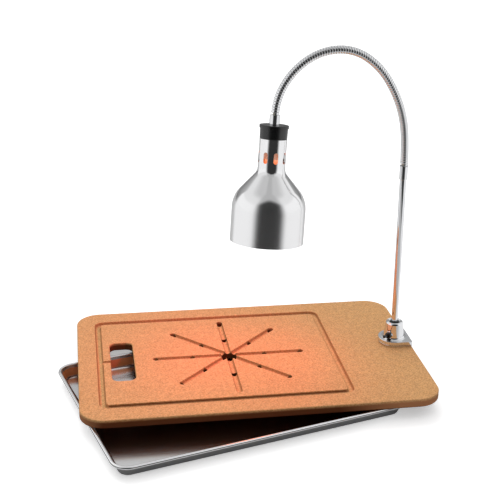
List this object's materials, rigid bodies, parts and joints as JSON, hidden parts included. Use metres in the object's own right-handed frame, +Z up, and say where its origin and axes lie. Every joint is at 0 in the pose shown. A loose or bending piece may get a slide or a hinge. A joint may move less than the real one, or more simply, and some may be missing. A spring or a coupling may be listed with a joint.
{
  "type": "infrared food warmer",
  "caption": "Infrared food warmer: a bell-shaped heat lamp on a bendable gooseneck and post stands on a grooved carving board that lies skewed on a wired-rim drip pan.",
  "frame": {"origin": "on the table under the middle of the carving board, on the underside of the drip pan's floor", "axes": "+X along the board towards the lamp post, +Y away from the carver, +Z up"},
  "size_m": [0.6983, 0.556, 0.6412],
  "materials": {
    "sheet_aluminium": "bare sheet, satin",
    "shade_aluminium": "spun and polished",
    "steel": "zinc plated",
    "board": "pressed wood fibre, satin",
    "chrome": "polished plating",
    "black_plastic": "heat-proof moulding, satin",
    "porcelain": "glazed",
    "brass": "bare",
    "lead_sleeve": "silicone insulation",
    "bulb_glass": "red stained, glowing when on",
    "clear_glass": "clear",
    "tungsten": "bare wire"
  },
  "bodies": {
    "pan": {"drip_pan": "sheet_aluminium", "rim_wire": "steel"},
    "board": {"carving_board": "board", "base_screws": "steel", "base_washers": "steel", "base_plate": "chrome", "lamp_pedestal": "chrome", "cord_inlet": "black_plastic", "terminal_block": "porcelain", "switch_body": "black_plastic", "switch_collar": "black_plastic", "post_bush": "black_plastic"},
    "switch": {"switch_lever": "black_plastic"},
    "post": {"post_tube": "chrome", "post_nut": "steel", "post_collar": "black_plastic", "lower_ferrule": "chrome", "post_lead": "lead_sleeve", "neck_link_1": "chrome", "neck_lead_1": "lead_sleeve"},
    "neck_2": {"neck_link_2": "chrome", "neck_lead_2": "lead_sleeve"},
    "neck_3": {"neck_link_3": "chrome", "neck_lead_3": "lead_sleeve"},
    "neck_4": {"neck_link_4": "chrome", "neck_lead_4": "lead_sleeve"},
    "neck_5": {"neck_link_5": "chrome", "neck_lead_5": "lead_sleeve"},
    "neck_6": {"neck_link_6": "chrome", "neck_lead_6": "lead_sleeve"},
    "neck_7": {"neck_link_7": "chrome", "neck_lead_7": "lead_sleeve"},
    "head": {"neck_link_8": "chrome", "neck_lead_8": "lead_sleeve", "upper_ferrule": "chrome", "head_lead": "lead_sleeve", "head_cap": "black_plastic", "head_nut": "steel", "shade": "shade_aluminium", "lampholder": "porcelain", "lampholder_shell": "brass", "centre_contact": "brass", "bulb_cap": "brass", "bulb_tip": "porcelain", "bulb_glass": "bulb_glass", "bulb_stem": "clear_glass", "bulb_filament": "tungsten"}
  },
  "joints": [
    {"name": "board_lift", "type": "slide", "parent": "pan", "child": "board", "axis": [0, 0, 1], "range_m": [0, 0.08]},
    {"name": "switch_toggle", "type": "hinge", "parent": "board", "child": "switch", "pos_m": [0.28544, 0.00514, 0.0627], "axis": [0.7071, -0.7071, 0], "range_deg": [0, 22]},
    {"name": "post_swivel", "type": "hinge", "parent": "board", "child": "post", "pos_m": [0.2993, 0.019, 0.0882], "axis": [-0.014, 0, 0.9999], "range_deg": [-170, 170]},
    {"name": "neck_bend_1", "type": "hinge", "parent": "post", "child": "neck_2", "pos_m": [0.29157, 0.019, 0.47036], "axis": [0, 1, 0], "range_deg": [-5, 12]},
    {"name": "neck_bend_2", "type": "hinge", "parent": "neck_2", "child": "neck_3", "pos_m": [0.27845, 0.019, 0.52699], "axis": [0, 1, 0], "range_deg": [-5, 12]},
    {"name": "neck_bend_3", "type": "hinge", "parent": "neck_3", "child": "neck_4", "pos_m": [0.25155, 0.019, 0.57856], "axis": [0, 1, 0], "range_deg": [-5, 12]},
    {"name": "neck_bend_4", "type": "hinge", "parent": "neck_4", "child": "neck_5", "pos_m": [0.20999, 0.019, 0.6189], "axis": [0, 1, 0], "range_deg": [-5, 12]},
    {"name": "neck_bend_5", "type": "hinge", "parent": "neck_5", "child": "neck_6", "pos_m": [0.15456, 0.01874, 0.63365], "axis": [0, 1, 0], "range_deg": [-5, 12]},
    {"name": "neck_bend_6", "type": "hinge", "parent": "neck_6", "child": "neck_7", "pos_m": [0.09989, 0.01717, 0.61557], "axis": [0, 1, 0], "range_deg": [-5, 12]},
    {"name": "neck_nod", "type": "hinge", "parent": "neck_7", "child": "head", "pos_m": [0.05955, 0.0133, 0.57427], "axis": [0.8462, 0, -0.5329], "range_deg": [-15, 15]}
  ]
}
